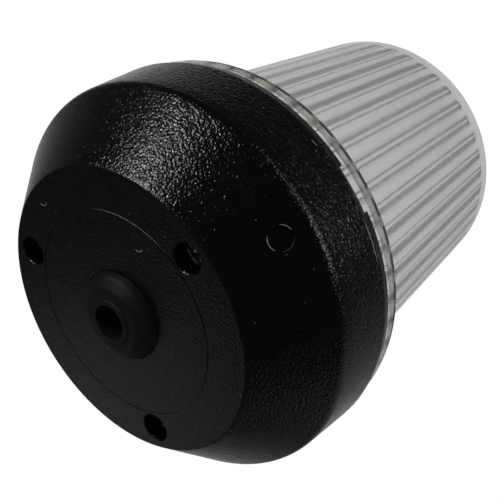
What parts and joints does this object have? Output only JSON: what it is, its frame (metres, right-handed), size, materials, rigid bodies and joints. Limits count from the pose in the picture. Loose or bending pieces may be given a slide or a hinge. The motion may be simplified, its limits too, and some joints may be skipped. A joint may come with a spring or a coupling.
{
  "type": "signal beacon lamp",
  "caption": "Round signal beacon: black bowl-shaped base with fixing holes round a central cable grommet, and a tall clear lens, fluted inside, that pulls off over the flash tube.",
  "frame": {"origin": "centre of the flat mounting face, which is also the centre of the fixing-hole circle", "axes": "+Z along the lamp's axis, from the mounting face towards the lens's crown; the fixing holes lie at 30, 150 and 270 degrees about +Z from +X"},
  "size_m": [0.1, 0.1, 0.1238],
  "materials": {
    "base_plastic": "moulded leather grain",
    "grommet_rubber": "smooth black rubber",
    "lens_clear": "clear moulded plastic, reeded inside",
    "seal_rubber": "matt",
    "board_laminate": "bare laminate, pale yellow-green",
    "pillar_metal": "nickel-plated",
    "plate_white": "white, smooth",
    "screw_steel": "zinc-plated",
    "ceramic_white": "unglazed ceramic",
    "tube_glass": "clear, fire-polished",
    "electrode_metal": "dull",
    "wire_tinned": "tinned",
    "wire_sleeve": "woven sleeve",
    "ferrite": "sintered, dark grey",
    "bobbin_plastic": "satin",
    "winding_tape": "yellow tape over copper",
    "can_sleeve": "shrunk sleeve, dark blue",
    "coil_varnish": "dark red varnish",
    "film_box": "red box",
    "package_black": "matt moulding compound",
    "block_green": "green",
    "diode_black": "satin",
    "resistor_body": "beige lacquer"
  },
  "bodies": {
    "beacon_base": {"base_housing": "base_plastic", "cable_grommet": "grommet_rubber", "circuit_board": "board_laminate", "board_standoffs": "pillar_metal", "reflector_plate": "plate_white", "plate_screws": "screw_steel", "tube_holder": "ceramic_white", "flash_tube": "tube_glass", "tube_electrodes": "electrode_metal", "trigger_wire": "wire_tinned", "tube_leads": "wire_sleeve", "transformer_core": "ferrite", "transformer_bobbin": "bobbin_plastic", "transformer_winding": "winding_tape", "storage_capacitor": "can_sleeve", "trigger_coil": "coil_varnish", "film_capacitor": "film_box", "timer_chip": "package_black", "chip_pins": "wire_tinned", "power_transistor": "package_black", "transistor_tab": "screw_steel", "terminal_block": "block_green", "terminal_screws": "screw_steel", "diodes": "diode_black", "resistors": "resistor_body", "component_leads": "wire_tinned"},
    "lens_cap": {"lens": "lens_clear", "lens_seal": "seal_rubber"}
  },
  "joints": [
    {"name": "lens_lift", "type": "slide", "parent": "beacon_base", "child": "lens_cap", "axis": [0, 0, 1], "range_m": [0, 0.05]}
  ]
}
